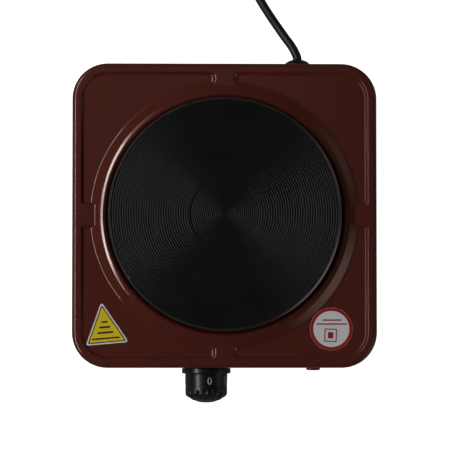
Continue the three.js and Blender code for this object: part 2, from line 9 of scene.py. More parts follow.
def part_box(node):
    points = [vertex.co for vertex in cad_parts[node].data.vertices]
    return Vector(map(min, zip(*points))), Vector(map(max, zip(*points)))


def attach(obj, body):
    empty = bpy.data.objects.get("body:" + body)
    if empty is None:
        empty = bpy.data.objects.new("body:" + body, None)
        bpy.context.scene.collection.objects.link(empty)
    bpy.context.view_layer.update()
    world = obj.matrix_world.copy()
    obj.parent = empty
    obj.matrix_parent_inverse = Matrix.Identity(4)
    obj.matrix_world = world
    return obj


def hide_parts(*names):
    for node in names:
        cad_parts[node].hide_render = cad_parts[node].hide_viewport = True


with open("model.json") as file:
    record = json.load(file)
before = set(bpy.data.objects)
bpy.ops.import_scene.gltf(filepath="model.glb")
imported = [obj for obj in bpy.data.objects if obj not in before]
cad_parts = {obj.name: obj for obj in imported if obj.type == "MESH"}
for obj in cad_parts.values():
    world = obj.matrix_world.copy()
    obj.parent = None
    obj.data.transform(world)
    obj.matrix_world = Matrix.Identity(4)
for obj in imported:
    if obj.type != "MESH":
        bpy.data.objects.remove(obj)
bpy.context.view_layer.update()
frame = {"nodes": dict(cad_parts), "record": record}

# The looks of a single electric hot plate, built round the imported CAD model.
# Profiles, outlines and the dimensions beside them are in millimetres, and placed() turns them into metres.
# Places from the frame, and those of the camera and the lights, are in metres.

MM = 0.001
SCENE = bpy.context.scene
NODES = frame["nodes"]

# ---------------------------------------------------------------- where things are


def centre(node):
    """The middle of a CAD node's box."""
    low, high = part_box(node)
    return tuple((a + b) / 2 for a, b in zip(low, high))


housing_low, housing_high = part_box("top_housing")
HOUSING_Y = centre("top_housing")[1]
HALF = (housing_high.x - housing_low.x) / 2 / MM
BORDER_TOP = 62.0
PLATE_Y = centre("hot_plate")[1]


def on_wall(node, side):
    """Where a node's axis meets the outside of the front wall (side -1) or of the rear wall (side 1)."""
    x, _, z = centre(node)
    return (x, HOUSING_Y + side * HALF * MM, z)


KNOB_AT = on_wall("knob", -1)
LAMP_AT = on_wall("lamp_lens", -1)
BUSH_AT = on_wall("cord_grommet", 1)
PLUG_AT = (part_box("plug_body")[0].x, *centre("plug_body")[1:])
coil_low, coil_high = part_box("cord_coil")
COIL_AT = centre("cord_coil")

# ---------------------------------------------------------------- camera

IMAGE_PIXELS = 450
MM_PER_PIXEL = 0.786  # at the height of the housing's border
CAMERA_HEIGHT = 2.0
SENSOR_MM = 36.0
LEAN_LEFT, LEAN_FRONT = math.radians(1.5), math.radians(2.6)
target = Vector((0.0002, HOUSING_Y - 0.00775, BORDER_TOP * MM))
lean = Vector((-math.tan(LEAN_LEFT), -math.tan(LEAN_FRONT), 1.0))
camera_data = bpy.data.cameras.new("camera")
camera = bpy.data.objects.new("camera", camera_data)
SCENE.collection.objects.link(camera)
camera.location = target + CAMERA_HEIGHT * lean
forward = -lean.normalized()
right = forward.cross(Vector((0, 1, 0))).normalized()
up = right.cross(forward)
turn = Matrix((right, up, -forward)).transposed()
camera.rotation_euler = turn.to_euler()
camera_data.sensor_width = SENSOR_MM
camera_data.lens = SENSOR_MM * (CAMERA_HEIGHT * lean.length) / (IMAGE_PIXELS * MM_PER_PIXEL * MM)
camera_data.clip_end = 50.0
SCENE.camera = camera
SCENE.view_settings.view_transform = "Standard"

# ---------------------------------------------------------------- material building


class Nodes:
    """A material's node tree with short calls for the nodes used here."""

    def __init__(self, name):
        self.material = bpy.data.materials.new(name)
        self.material.use_nodes = True
        self.tree = self.material.node_tree
        self.shader = self.tree.nodes["Principled BSDF"]
        self.place = self.add("ShaderNodeTexCoord").outputs["Object"]

    def add(self, kind, **values):
        node = self.tree.nodes.new(kind)
        for key, value in values.items():
            setattr(node, key, value)
        return node

    def join(self, output, socket):
        self.tree.links.new(output, socket)

    def set(self, **values):
        for key, value in values.items():
            self.shader.inputs[key.replace("_", " ")].default_value = value

    def stretched(self, scale):
        """The object's coordinates, scaled along each axis."""
        node = self.add("ShaderNodeMapping")
        node.inputs["Scale"].default_value = scale
        self.join(self.place, node.inputs["Vector"])
        return node.outputs["Vector"]

    def noise(self, scale, detail=3.0, rough=0.55, vector=None):
        node = self.add("ShaderNodeTexNoise")
        node.inputs["Scale"].default_value = scale
        node.inputs["Detail"].default_value = detail
        node.inputs["Roughness"].default_value = rough
        self.join(vector or self.place, node.inputs["Vector"])
        return node.outputs["Fac"]

    def cells(self, scale):
        node = self.add("ShaderNodeTexVoronoi")
        node.inputs["Scale"].default_value = scale
        self.join(self.place, node.inputs["Vector"])
        return node.outputs["Color"]

    def ramp(self, factor, stops):
        """A colour that follows factor through stops, each a place from 0 to 1 and a colour."""
        node = self.add("ShaderNodeValToRGB")
        while len(node.color_ramp.elements) < len(stops):
            node.color_ramp.elements.new(0.5)
        for element, (at, colour) in zip(node.color_ramp.elements, stops):
            element.position = at
            element.color = (*colour, 1.0)
        self.join(factor, node.inputs["Fac"])
        return node.outputs["Color"]

    def spread(self, factor, low, high, start=0.3, end=0.7):
        """A number that goes from low to high as factor goes from start to end."""
        node = self.add("ShaderNodeMapRange")
        for key, value in (("From Min", start), ("From Max", end), ("To Min", low), ("To Max", high)):
            node.inputs[key].default_value = value
        self.join(factor, node.inputs["Value"])
        return node.outputs["Result"]

    def bump(self, height, strength, distance):
        """Relief on the material's surface, distance metres deep."""
        node = self.add("ShaderNodeBump")
        node.inputs["Strength"].default_value = strength
        node.inputs["Distance"].default_value = distance
        self.join(height, node.inputs["Height"])
        self.join(node.outputs["Normal"], self.shader.inputs["Normal"])


def linear(rgb):
    """An 8-bit display colour as linear light."""
    return tuple(((c / 255 + 0.055) / 1.055) ** 2.4 if c > 10 else c / 255 / 12.92 for c in rgb)


def scaled(colour, factor):
    """A colour made lighter or darker."""
    return tuple(min(1.0, c * factor) for c in colour)


def finish(name, rgb, rough, metal=0.0, vary=0.12, blotch=40.0, grain=900.0, depth=0.01, strength=0.3,
           **sockets):
    """A material whose colour drifts in soft patches, with fine grain in its gloss and relief (depth in mm)."""
    n = Nodes(name)
    base = linear(rgb)
    patch = n.noise(blotch, 4.0)
    colour = n.ramp(patch, [(0.3, scaled(base, 1 - vary)), (0.7, scaled(base, 1 + vary))])
    n.join(colour, n.shader.inputs["Base Color"])
    fine = n.noise(grain, 3.0)
    n.join(n.spread(fine, rough * 0.88, min(1.0, rough * 1.14)), n.shader.inputs["Roughness"])
    n.bump(fine, strength, depth * MM)
    n.set(Metallic=metal, **sockets)
    return n.material


def enamel():
    """Glossy brown stove enamel: soft clouds in its colour, small dark specks and a faint orange peel."""
    n = Nodes("brown_enamel")
    base = linear((90, 38, 30))
    cloud = n.noise(9.0, 5.0)
    colour = n.ramp(cloud, [(0.3, scaled(base, 0.95)), (0.7, scaled(base, 1.06))])
    specks = n.noise(2600.0, 2.0)
    mixed = n.add("ShaderNodeMix", data_type="RGBA", blend_type="MULTIPLY")
    mixed.inputs["Factor"].default_value = 0.5
    n.join(colour, mixed.inputs["A"])
    n.join(n.ramp(specks, [(0.35, (0.84, 0.82, 0.82)), (0.6, (1.0, 1.0, 1.0))]), mixed.inputs["B"])
    n.join(mixed.outputs["Result"], n.shader.inputs["Base Color"])
    peel = n.noise(420.0, 2.0)
    n.join(n.spread(cloud, 0.09, 0.13), n.shader.inputs["Roughness"])
    n.bump(peel, 0.2, 0.002 * MM)
    n.set(IOR=1.5, Specular_Tint=(1.0, 0.86, 0.8, 1.0))
    return n.material


def cast_iron():
    """Black heat-proof coating on machined cast iron, with a fine grain."""
    n = Nodes("cast_iron")
    patch = n.noise(30.0, 5.0)
    colour = n.ramp(patch, [(0.3, linear((22, 22, 23))), (0.7, linear((28, 28, 28)))])
    n.join(colour, n.shader.inputs["Base Color"])
    grain = n.noise(2200.0, 3.0)
    n.join(n.spread(grain, 0.28, 0.38), n.shader.inputs["Roughness"])
    n.bump(grain, 0.35, 0.02 * MM)
    n.set(IOR=1.45, Specular_IOR_Level=0.15)
    return n.material


def zinc_steel():
    """Zinc-plated sheet with a faint spangle and fine rolling lines."""
    n = Nodes("zinc_steel")
    spangle = n.cells(160.0)
    grey = n.add("ShaderNodeRGBToBW")
    n.join(spangle, grey.inputs["Color"])
    colour = n.ramp(grey.outputs["Val"], [(0.2, linear((158, 161, 164))), (0.8, linear((190, 192, 193)))])
    n.join(colour, n.shader.inputs["Base Color"])
    lines = n.noise(1.0, 2.0, vector=n.stretched((60.0, 2400.0, 2400.0)))
    n.join(n.spread(lines, 0.28, 0.42), n.shader.inputs["Roughness"])
    n.bump(lines, 0.2, 0.01 * MM)
    n.set(Metallic=0.9)
    return n.material


def earth_wire():
    """Green insulation with yellow stripes along the wire."""
    n = Nodes("earth_wire")
    stripe = n.noise(1.0, 0.0, vector=n.stretched((900.0, 40.0, 900.0)))
    colour = n.ramp(stripe, [(0.47, linear((72, 138, 44))), (0.53, linear((206, 190, 40)))])
    n.join(colour, n.shader.inputs["Base Color"])
    n.bump(n.noise(900.0), 0.2, 0.01 * MM)
    n.set(Roughness=0.45)
    return n.material


FINISHES = {
    "black_plastic": dict(rgb=(9, 9, 10), rough=0.32, blotch=60.0, grain=1400.0, depth=0.004),
    "rubber": dict(rgb=(27, 27, 27), rough=0.78, vary=0.2, grain=1600.0, depth=0.03, strength=0.5),
    "nichrome": dict(rgb=(104, 98, 90), rough=0.5, metal=0.9, vary=0.25, blotch=120.0),
    "ceramic": dict(rgb=(228, 220, 204), rough=0.7, vary=0.07, blotch=90.0, depth=0.03),
    "brass": dict(rgb=(178, 143, 70), rough=0.32, metal=0.95, blotch=80.0),
    "nickel": dict(rgb=(202, 199, 191), rough=0.22, metal=1.0, vary=0.06, blotch=70.0),
    "red_lens": dict(rgb=(128, 10, 18), rough=0.16, vary=0.08, blotch=200.0, depth=0.003,
                     Subsurface_Weight=0.25, Coat_Weight=0.4),
    "bulb_glass": dict(rgb=(216, 210, 203), rough=0.08, vary=0.04, blotch=50.0, depth=0.002),
    "cord_sheath": dict(rgb=(19, 19, 20), rough=0.42, vary=0.2, blotch=30.0, grain=1500.0, depth=0.006),
    "brown_wire": dict(rgb=(92, 50, 26), rough=0.45, vary=0.15, blotch=60.0),
    "blue_wire": dict(rgb=(34, 78, 156), rough=0.45, blotch=60.0),
    "yellow_label": dict(rgb=(236, 206, 26), rough=0.38, vary=0.04, blotch=25.0, depth=0.004),
    "white_label": dict(rgb=(232, 232, 233), rough=0.4, vary=0.03, blotch=25.0, depth=0.004),
}
MATERIALS = {name: finish(name, **values) for name, values in FINISHES.items()}
MATERIALS["brown_enamel"] = enamel()
MATERIALS["cast_iron"] = cast_iron()
MATERIALS["zinc_steel"] = zinc_steel()
MATERIALS["earth_wire"] = earth_wire()

BLACK_INK = finish("black_ink", (40, 26, 8), 0.45, vary=0.2, blotch=400.0, depth=0.003)
RED_INK = finish("red_ink", (158, 20, 28), 0.42, vary=0.08, blotch=300.0, depth=0.003)
WHITE_INK = finish("white_ink", (222, 222, 220), 0.5, vary=0.04, blotch=500.0, depth=0.004)
# A lighter grey iron for the plate rim's edge: its lighter colour is a painted sheen, and its high specular level
# makes it catch the lamps.
RIM_SHEEN_IRON = finish("rim_sheen_iron", (40, 38, 36), 0.2, vary=0.2, blotch=60.0, grain=1800.0, depth=0.02,
                   Specular_IOR_Level=1.0)

for entry in frame["record"]["subparts"]:
    node = NODES[entry["node"]]
    node.data.materials.clear()
    node.data.materials.append(MATERIALS[entry["material_slot"]])

# ---------------------------------------------------------------- mesh building


def mesh_piece(name, points, faces, material, face_materials=None, smooth=True):
    """A mesh object. points are in metres; face_materials gives each face's number in the materials."""
    materials = material if isinstance(material, (list, tuple)) else [material]
    mesh = bpy.data.meshes.new(name)
    mesh.from_pydata([tuple(p) for p in np.asarray(points, float)], [], [tuple(f) for f in faces])
    for one in materials:
        mesh.materials.append(one)
    if face_materials is not None:
        mesh.polygons.foreach_set("material_index", face_materials)
    mesh.polygons.foreach_set("use_smooth", [smooth] * len(mesh.polygons))
    mesh.update()
    piece = bpy.data.objects.new(name, mesh)
    SCENE.collection.objects.link(piece)
    return piece


def ring_faces(rings, around, closed):
    """Quads between neighbouring rings of points and, where closed, from the last ring back to the first."""
    faces = []
    for i in range(rings if closed else rings - 1):
        a = i * around
        b = ((i + 1) % rings) * around
        for j in range(around):
            k = (j + 1) % around
            faces.append((a + j, a + k, b + k, b + j))
    return faces


def lathe_points(profile, segments):
    """A surface turned about +Z. profile runs up its outside, and a fan closes it at radius 0."""
    angles = np.arange(segments) * 2 * math.pi / segments
    points, rows = [], []
    for radius, height in profile:
        if radius < 1e-9:
            rows.append([len(points)] * segments)
            points.append((0.0, 0.0, height))
        else:
            start = len(points)
            points += [(radius * math.cos(a), radius * math.sin(a), height) for a in angles]
            rows.append(list(range(start, start + segments)))
    closed = profile[0][0] > 1e-9
    faces = []
    for i in range(len(rows) if closed else len(rows) - 1):
        low, high = rows[i], rows[(i + 1) % len(rows)]
        for j in range(segments):
            k = (j + 1) % segments
            face = [low[j], low[k], high[k], high[j]]
            unique = [v for n, v in enumerate(face) if v not in face[:n]]
            if len(unique) > 2:
                faces.append(tuple(unique))
    return points, faces


def rounded(profile, steps=4):
    """A profile of (x, y) or (x, y, corner radius) points with its corners rounded."""
    made = []
    count = len(profile)
    for i, point in enumerate(profile):
        radius = point[2] if len(point) > 2 else 0.0
        here = Vector(point[:2])
        if radius <= 0:
            made.append(tuple(here))
            continue
        before = Vector(profile[(i - 1) % count][:2]) - here
        after = Vector(profile[(i + 1) % count][:2]) - here
        angle = before.angle(after)
        reach = min(radius / math.tan(angle / 2), before.length * 0.48, after.length * 0.48)
        start = here + before.normalized() * reach
        end = here + after.normalized() * reach
        for step in range(steps + 1):
            t = step / steps
            made.append(tuple(start * (1 - t) ** 2 + here * 2 * t * (1 - t) + end * t * t))
    return made


def placed(points, at, out):
    """Points in mm, in a frame whose own +Z points along out, as metres in the row frame."""
    p = np.asarray(points, float) * MM
    x, y, z = p[:, 0], p[:, 1], p[:, 2]
    turned = {
        "up": (x, y, z),
        "front": (x, -z, y),
        "rear": (x, z, -y),
        "right": (z, y, -x),
    }[out]
    return np.stack(turned, 1) + np.asarray(at, float)


def lathe_piece(name, profile, segments, material, at, out="up"):
    """A mesh object turned about its own axis, which points along out."""
    points, faces = lathe_points(profile, segments)
    return mesh_piece(name, placed(points, at, out), faces, material)


def give(piece, body, slot, *nodes):
    """Puts a piece on its body and hides the CAD nodes that it stands for. slot is not used."""
    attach(piece, body)
    if nodes:
        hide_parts(*nodes)
    return piece


# ---------------------------------------------------------------- housing

CORNER = 28.0  # radius of the outline's corners
SHEET = 0.8  # thickness of the steel
BEND = 4.0  # radius between the border and the walls
BEND_STEPS = 12
STEP = {"start": 6.5, "depth": 2.2, "slope": 3.2}  # from the border down to the corner panels
# Half widths of the bridges at the sides and the ends, their corners, and how far the end slopes are spread.
BRIDGE = {"side": 7.3, "side_round": 1.6, "end": 8.4, "end_round": 2.6, "end_spread": 1.45}
CREST = {"start": 95.4, "height": 65.7, "round": 0.6, "facet": 1.8, "facet_slope": 0.43, "turn": 1.0}
COLLAR_FOOT = 105.6
FOOT_FILLET = 0.6


def ease(t):
    """A smooth step from 0 to 1 as t goes from 0 to 1."""
    t = np.clip(t, 0.0, 1.0)
    return t * t * (3 - 2 * t)


def outline_reach(angle, half, corner):
    """Distance from the middle of a rounded square to its outline at each angle."""
    c, s = np.abs(np.cos(angle)), np.abs(np.sin(angle))
    big, small = np.maximum(c, s), np.minimum(c, s)
    straight = half - corner
    along = straight * (big + small)
    curved = along + np.sqrt(np.maximum(along**2 - 2 * straight**2 + corner**2, 0.0))
    return np.where(half / big * small <= straight, half / big, curved)


def corner_between(a, b, radius):
    """The nearer of two edges, a and b mm away, with the corner between them rounded."""
    turned = radius - np.hypot(np.maximum(radius - a, 0), np.maximum(radius - b, 0))
    return np.where((a < radius) & (b < radius), turned, np.minimum(a, b))


def crest_height(radius):
    """Height of the collar's outside: a rounded top, a narrow gentle facet, then a steeper slope to its foot."""
    gentle, turn = CREST["facet_slope"], CREST["turn"]
    places = CREST["start"] + np.cumsum([0, CREST["round"], CREST["facet"], turn])
    rise = CREST["height"] - (BORDER_TOP - STEP["depth"])
    fall = rise - gentle * (CREST["round"] / 2 + CREST["facet"] + turn / 2)
    steep = fall / (turn / 2 + COLLAR_FOOT - places[3])
    fine = np.linspace(places[0], COLLAR_FOOT + 4, 1200)
    slope = np.interp(fine, places, [0, gentle, gentle, steep])
    drop = np.concatenate([[0], np.cumsum((slope[1:] + slope[:-1]) / 2 * np.diff(fine))])
    return CREST["height"] - np.interp(radius, fine, drop)


def top_height(x, y):
    """Height of the pressed top outside the crest: border, recessed corner panels, bridges and cone."""
    px, py = np.abs(x) - (HALF - CORNER), np.abs(y) - (HALF - CORNER)
    outside = np.hypot(np.maximum(px, 0), np.maximum(py, 0)) + np.minimum(np.maximum(px, py), 0)
    # Distances into a corner panel: from the border's step, a side bridge, an end bridge and the cone's foot.
    half_slope = STEP["slope"] / 2
    border = CORNER - outside - STEP["start"] - half_slope
    side = np.abs(y) - BRIDGE["side"] - half_slope
    end = (np.abs(x) - BRIDGE["end"]) / BRIDGE["end_spread"]
    foot = np.hypot(x, y) - COLLAR_FOOT + half_slope
    near = corner_between(border, side, BRIDGE["side_round"])
    near = corner_between(near, end, BRIDGE["end_round"])
    at_foot = BRIDGE["end_round"] - np.hypot(np.maximum(BRIDGE["end_round"] - end, 0),
                                             np.maximum(BRIDGE["end_round"] - foot, 0))
    in_corner = (end < BRIDGE["end_round"]) & (foot < BRIDGE["end_round"])
    near = np.where(in_corner, np.minimum(near, at_foot), near)
    base = BORDER_TOP - STEP["depth"] * ease(near / STEP["slope"] + 0.5)
    cone = crest_height(np.hypot(x, y))
    touching = np.maximum(FOOT_FILLET - np.abs(base - cone), 0) / FOOT_FILLET
    return np.maximum(base, cone) + touching**2 * FOOT_FILLET / 4


# A point's angle round the housing, in degrees: closer together at the bridges, where the step turns sharply.
quarter = np.concatenate([np.arange(0, 7, 0.2), np.arange(7, 83, 0.6), np.arange(83, 90, 0.2)])
HOUSING_ANGLES = np.radians(np.concatenate([quarter + 90 * i for i in range(4)]))


def circle_ring(radius, height):
    """A level circle of points."""
    x, y = radius * np.cos(HOUSING_ANGLES), radius * np.sin(HOUSING_ANGLES)
    return np.stack([x, y, np.full_like(x, height)], 1)


def outline_ring(inset, height):
    """A level ring of points along the housing's outline, moved inwards by inset."""
    reach = outline_reach(HOUSING_ANGLES, HALF - inset, CORNER - inset)
    x, y = reach * np.cos(HOUSING_ANGLES), reach * np.sin(HOUSING_ANGLES)
    return np.stack([x, y, np.full_like(x, height)], 1)


def on_top(ring, drop):
    """A ring laid on the pressed top, or below it by drop."""
    ring = ring.copy()
    ring[:, 2] = top_height(ring[:, 0], ring[:, 1]) - drop
    return ring


def across_top(circles, steps, insets, drop):
    """Rings over the pressed top, from the collar's circles to the border's offset outlines."""
    inner, outer = circle_ring(circles[-1], 0), outline_ring(insets[0], 0)
    between = [inner + (outer - inner) * i / steps for i in range(1, steps)]
    rings = [circle_ring(r, 0) for r in circles] + between + [outline_ring(q, 0) for q in insets]
    return [on_top(ring, drop) for ring in rings]


def build_housing():
    """The pressed shell as one closed skin: seat, collar, top, border and walls, and the same back inside."""
    seat = [(84.0, 60.0), (84.15, 60.45), (84.6, 60.6), (88.0, 60.6), (91.6, 60.6), (92.5, 60.8), (92.9, 61.5)]
    wall = [(92.9, 63.0), (92.9, 63.8), (92.95, 64.2), (93.1, 64.48), (93.35, 64.7), (93.65, 64.93)]
    crest = [(93.95, 65.12), (94.3, 65.34), (94.6, 65.5), (94.9, 65.62), (95.2, 65.68)]
    rings = [circle_ring(r, z) for r, z in seat + wall + crest]
    circles = [95.4, 95.6, 95.8, 96.0, 96.4, 96.9, 97.4, 97.8, 98.1, 98.4, 98.8, 99.3, 100.1, 101.0, 101.8]
    circles += [102.4, 102.9, 103.3, 103.7, 104.0, 104.3, 104.6, 104.9, 105.2, 105.5, 105.9, 106.4]
    insets = [12.2, 11.4, 10.7, 10.1, 9.7, 9.4, 9.1, 8.8, 8.5, 8.2, 7.9, 7.6, 7.3, 7.0, 6.7, 6.4, 6.0, 5.4, 4.7]
    rings += across_top(circles, 12, insets, 0.0)
    for i in range(BEND_STEPS + 1):
        a = math.radians(90 * i / BEND_STEPS)
        rings.append(outline_ring(BEND * (1 - math.sin(a)), BORDER_TOP - BEND * (1 - math.cos(a))))
    rings += [outline_ring(0, z) for z in (56, 50, 42, 34, 26, 19, 14, 12.4)]
    hem = [(0.12, 12.1), (0.4, 12.0), (0.68, 12.1), (SHEET, 12.4)]
    rings += [outline_ring(inset, z) for inset, z in hem]
    rings += [outline_ring(SHEET, z) for z in (20, 34, 48, 58)]
    inner = BEND - SHEET
    for i in range(2, BEND_STEPS + 1, 2):
        a = math.radians(90 * i / BEND_STEPS)
        rings.append(outline_ring(BEND - inner * math.cos(a), BORDER_TOP - BEND + inner * math.sin(a)))
    under = [97.7, 98.6, 99.6, 101.8, 103.3, 104.3, 105.2, 106.4]
    rings += across_top(under, 6, [12.2, 10.4, 9.4, 8.5, 7.6, 6.7, 5.4], SHEET)[::-1]
    inside = [(96.3, 64.7), (95.2, 64.6), (94.4, 64.2), (93.75, 63.6), (93.7, 61.0), (93.4, 60.1), (92.6, 59.8)]
    rings += [circle_ring(r, z) for r, z in inside + [(88.0, 59.8), (84.3, 59.8)]]
    points = placed(np.concatenate(rings), (0, HOUSING_Y, 0), "up")
    faces = ring_faces(len(rings), len(HOUSING_ANGLES), closed=True)
    return mesh_piece("housing_shell", points, faces, MATERIALS["brown_enamel"])


give(build_housing(), "housing", "brown_enamel", "top_housing")

# ---------------------------------------------------------------- cooking plate

PLATE_TOP = 72.0
PLATE_SEGMENTS = 288
SHEEN_FROM = (90.0, 69.5)  # the rim's edge beyond this radius and above this height gets the lighter, glossier iron, whose lighter colour is a painted sheen
RINGS = {"inner": 28.2, "outer": 89.6, "pitch": 1.945, "depth": 0.4}
DISC = {"radius": 27.1, "pitch": 1.533, "depth": 0.27, "drop": 0.5}


def ringed(start, end, pitch, depth, top, samples=8):
    """Points of a face with machined rings, from the outside in."""
    count = int(abs(start - end) / pitch * samples)
    radii = np.linspace(start, end, count + 1)
    phase = (start - radii) / pitch
    wave = (0.5 - 0.5 * np.cos(2 * math.pi * phase)) ** 0.8
    return list(zip(radii.tolist(), (top - depth * wave).tolist()))


def build_plate():
    """The cast plate as one turned profile, from its stud's hole round the skirt and the rim to the middle disc."""
    underside = [(0, 67.8), (3.3, 67.8), (3.3, 56.8), (16.0, 56.8, 0.4), (16.0, 65.8, 1.0), (80.0, 65.8, 1.0)]
    underside += [(80.0, 54.0, 0.3), (82.2, 54.0, 0.5), (82.2, 60.9, 0.8), (91.8, 60.9, 0.4)]
    rim = [(91.8, 70.4, 0.7), (91.5, 70.85, 0.3), (90.0, PLATE_TOP, 0.15)]
    profile = rounded(underside + rim + [(89.65, PLATE_TOP)], 8)[:-1]
    profile += ringed(RINGS["outer"], RINGS["inner"], RINGS["pitch"], RINGS["depth"], PLATE_TOP)
    low = PLATE_TOP - DISC["drop"]
    profile += [(27.75, PLATE_TOP - 0.02), (27.5, PLATE_TOP - 0.12), (27.25, low + 0.06)]
    profile += ringed(DISC["radius"], 1.2, DISC["pitch"], DISC["depth"], low)
    profile += [(0.5, low - 0.02), (0, low - 0.03)]
    points, faces = lathe_points(profile, PLATE_SEGMENTS)
    # Faces on the rim's outer edge take the lighter iron, a painted sheen.
    sheen_faces = [int(r > SHEEN_FROM[0] and z > SHEEN_FROM[1]) for r, z in profile for _ in range(PLATE_SEGMENTS)]
    points = placed(points, (0, PLATE_Y, 0), "up")
    return mesh_piece("plate_casting", points, faces, [MATERIALS["cast_iron"], RIM_SHEEN_IRON], sheen_faces[:len(faces)])


give(build_plate(), "housing", "cast_iron", "hot_plate")

# ---------------------------------------------------------------- knob

KNOB_TURN = 8.3  # degrees from straight up to the digit 0
KNOB_SKIRT = 19.3
KNOB_BODY = 16.7
FLUTES = 16
FLUTE_POINTS = 22  # round the knob, for each flute
FLUTE = {"depth": 1.2, "from": 16.0, "full": 21.0, "end_radius": 12.3, "full_radius": 13.4}
TIP = {"from": 20.5, "over": 3.5, "inward": 0.6, "down": 0.7}  # how the flutes turn over the shoulder
DIGITS = "054321"
DIGIT_STEP = 52.0  # degrees
DIGIT_AT = 10.3
DIGIT_HEIGHT = 6.0
FONT_SIZE = 1.37  # times the height of a digit
DIGIT_THINNING = 0.15
DIGIT_DEPTH = 0.05
DIGIT_PROUD = 0.02


def flute_depth(radius, height):
    """How deep the flutes are at a place on the knob's outline, in mm."""
    grown = ease((height - FLUTE["from"]) / (FLUTE["full"] - FLUTE["from"]))
    ended = 1 - ease((FLUTE["full_radius"] - radius) / (FLUTE["full_radius"] - FLUTE["end_radius"]))
    return FLUTE["depth"] * grown * ended


def build_knob():
    """The knob's cap: socket and hollow behind, thin skirt, plain barrel, and flutes that run over its end."""
    inside = [(0, 21.0), (4.4, 21.0), (4.4, 2.2), (8.0, 2.2, 0.3), (8.0, 13.2), (14.1, 13.2), (14.1, 3.4)]
    inside += [(17.6, 2.6), (17.6, 0.35, 0.2)]
    skirt = [(KNOB_SKIRT, 0.35, 0.4), (KNOB_SKIRT, 4.4, 0.7), (KNOB_BODY + 0.1, 4.75, 0.35)]
    body = [(KNOB_BODY, 8.0), (KNOB_BODY - 0.05, 12.0), (KNOB_BODY - 0.2, 14.6), (KNOB_BODY - 0.15, 15.4)]
    body += [(KNOB_BODY, h) for h in (16.2, 17.0, 17.8, 18.6, 19.4, 20.2)]
    end = [(16.55, 20.9), (16.25, 21.7), (15.8, 22.3), (15.2, 22.8), (14.5, 23.25), (13.9, 23.6), (13.4, 23.85)]
    end += [(13.0, 24.05), (12.6, 24.3), (12.2, 24.7), (11.6, 25.1), (10.3, 25.7), (8.4, 26.3), (6.2, 27.1)]
    end += [(3.4, 27.55)]
    profile = rounded(inside + skirt + body + end, 5) + [(0, 27.7)]
    points, faces = lathe_points(profile, FLUTES * FLUTE_POINTS)
    p = np.asarray(points)
    radius = np.hypot(p[:, 0], p[:, 1])
    around = np.arctan2(p[:, 0], p[:, 1]) - math.radians(KNOB_TURN)
    valley = (0.5 - 0.5 * np.cos(FLUTES * around)) ** 3
    outer = (p[:, 2] > 14.0) & (radius > 12.0)
    depth = np.where(outer, flute_depth(radius, p[:, 2]) * valley, 0)
    slant = np.clip((p[:, 2] - TIP["from"]) / TIP["over"], 0, 1)
    shrink = 1 - depth * np.sqrt(1 - TIP["inward"] * slant) / np.maximum(radius, 1)
    p[:, 0] *= shrink
    p[:, 1] *= shrink
    p[:, 2] -= depth * TIP["down"] * slant
    return mesh_piece("knob_cap", placed(p, KNOB_AT, "front"), faces, MATERIALS["black_plastic"])


def build_digits():
    """The numbers of the dial, printed round the knob with their tops towards the housing."""
    points, faces = [], []
    for i, digit in enumerate(DIGITS):
        curve = bpy.data.curves.new("digit", "FONT")
        curve.body = digit
        curve.size = DIGIT_HEIGHT * FONT_SIZE
        curve.align_x = "CENTER"
        curve.extrude = DIGIT_DEPTH
        curve.offset = -DIGIT_THINNING
        curve.resolution_u = 6
        holder = bpy.data.objects.new("digit", curve)
        SCENE.collection.objects.link(holder)
        flat = bpy.data.meshes.new_from_object(holder.evaluated_get(bpy.context.evaluated_depsgraph_get()))
        co = np.array([v.co for v in flat.vertices])
        co[:, 1] -= (co[:, 1].max() + co[:, 1].min()) / 2
        co[:, 0] -= (co[:, 0].max() + co[:, 0].min()) / 2
        angle = math.radians(KNOB_TURN + DIGIT_STEP * i) + co[:, 0] / KNOB_BODY
        radius = KNOB_BODY + DIGIT_PROUD + co[:, 2]
        start = len(points)
        points += np.stack([radius * np.sin(angle), radius * np.cos(angle), DIGIT_AT - co[:, 1]], 1).tolist()
        faces += [tuple(start + v for v in polygon.vertices) for polygon in flat.polygons]
        bpy.data.objects.remove(holder)
        bpy.data.curves.remove(curve)
        bpy.data.meshes.remove(flat)
    return mesh_piece("knob_digits", placed(points, KNOB_AT, "front"), faces, WHITE_INK, smooth=False)


give(build_knob(), "knob", "black_plastic", "knob")
give(build_digits(), "knob", None)

# ---------------------------------------------------------------- lamp, bush and feet

lamp_profile = [(3.2, -11.0), (4.5, -11.0, 0.3), (4.5, 0.3), (5.6, 0.3, 0.3), (5.6, 1.5, 0.6), (4.6, 1.95, 0.4)]
lamp_profile += [(2.4, 2.15), (0, 2.2), (0, 0.6), (3.2, -0.2, 0.5)]
lamp = lathe_piece("lamp_cap", rounded(lamp_profile), 64, MATERIALS["red_lens"], LAMP_AT, "front")
give(lamp, "housing", "red_lens", "lamp_lens")

BUSH_RIBS = 4
bush_profile = [(3.8, -20.0, 0.3), (5.2, -20.0, 0.4)]
for i in range(BUSH_RIBS):
    r, z = 5.35 + 0.25 * i, -18.0 + 3.2 * i
    bush_profile += [(r, z, 0.3), (r - 0.5, z + 0.3, 0.2), (r - 0.4, z + 1.5, 0.2), (r + 0.15, z + 1.8, 0.3)]
bush_profile += [(6.6, -5.4), (8.2, -3.4, 0.4), (8.2, -1.1, 0.2), (7.0, -1.1), (7.0, 0.3), (10.1, 0.3, 0.4)]
bush_profile += [(10.1, 2.5, 0.8), (8.9, 4.0, 1.0), (6.6, 5.2, 1.0), (4.6, 5.95, 0.5), (3.8, 6.0, 0.3)]
bush = lathe_piece("cord_bush", rounded(bush_profile), 72, MATERIALS["black_plastic"], BUSH_AT, "rear")
give(bush, "housing", "black_plastic", "cord_grommet")

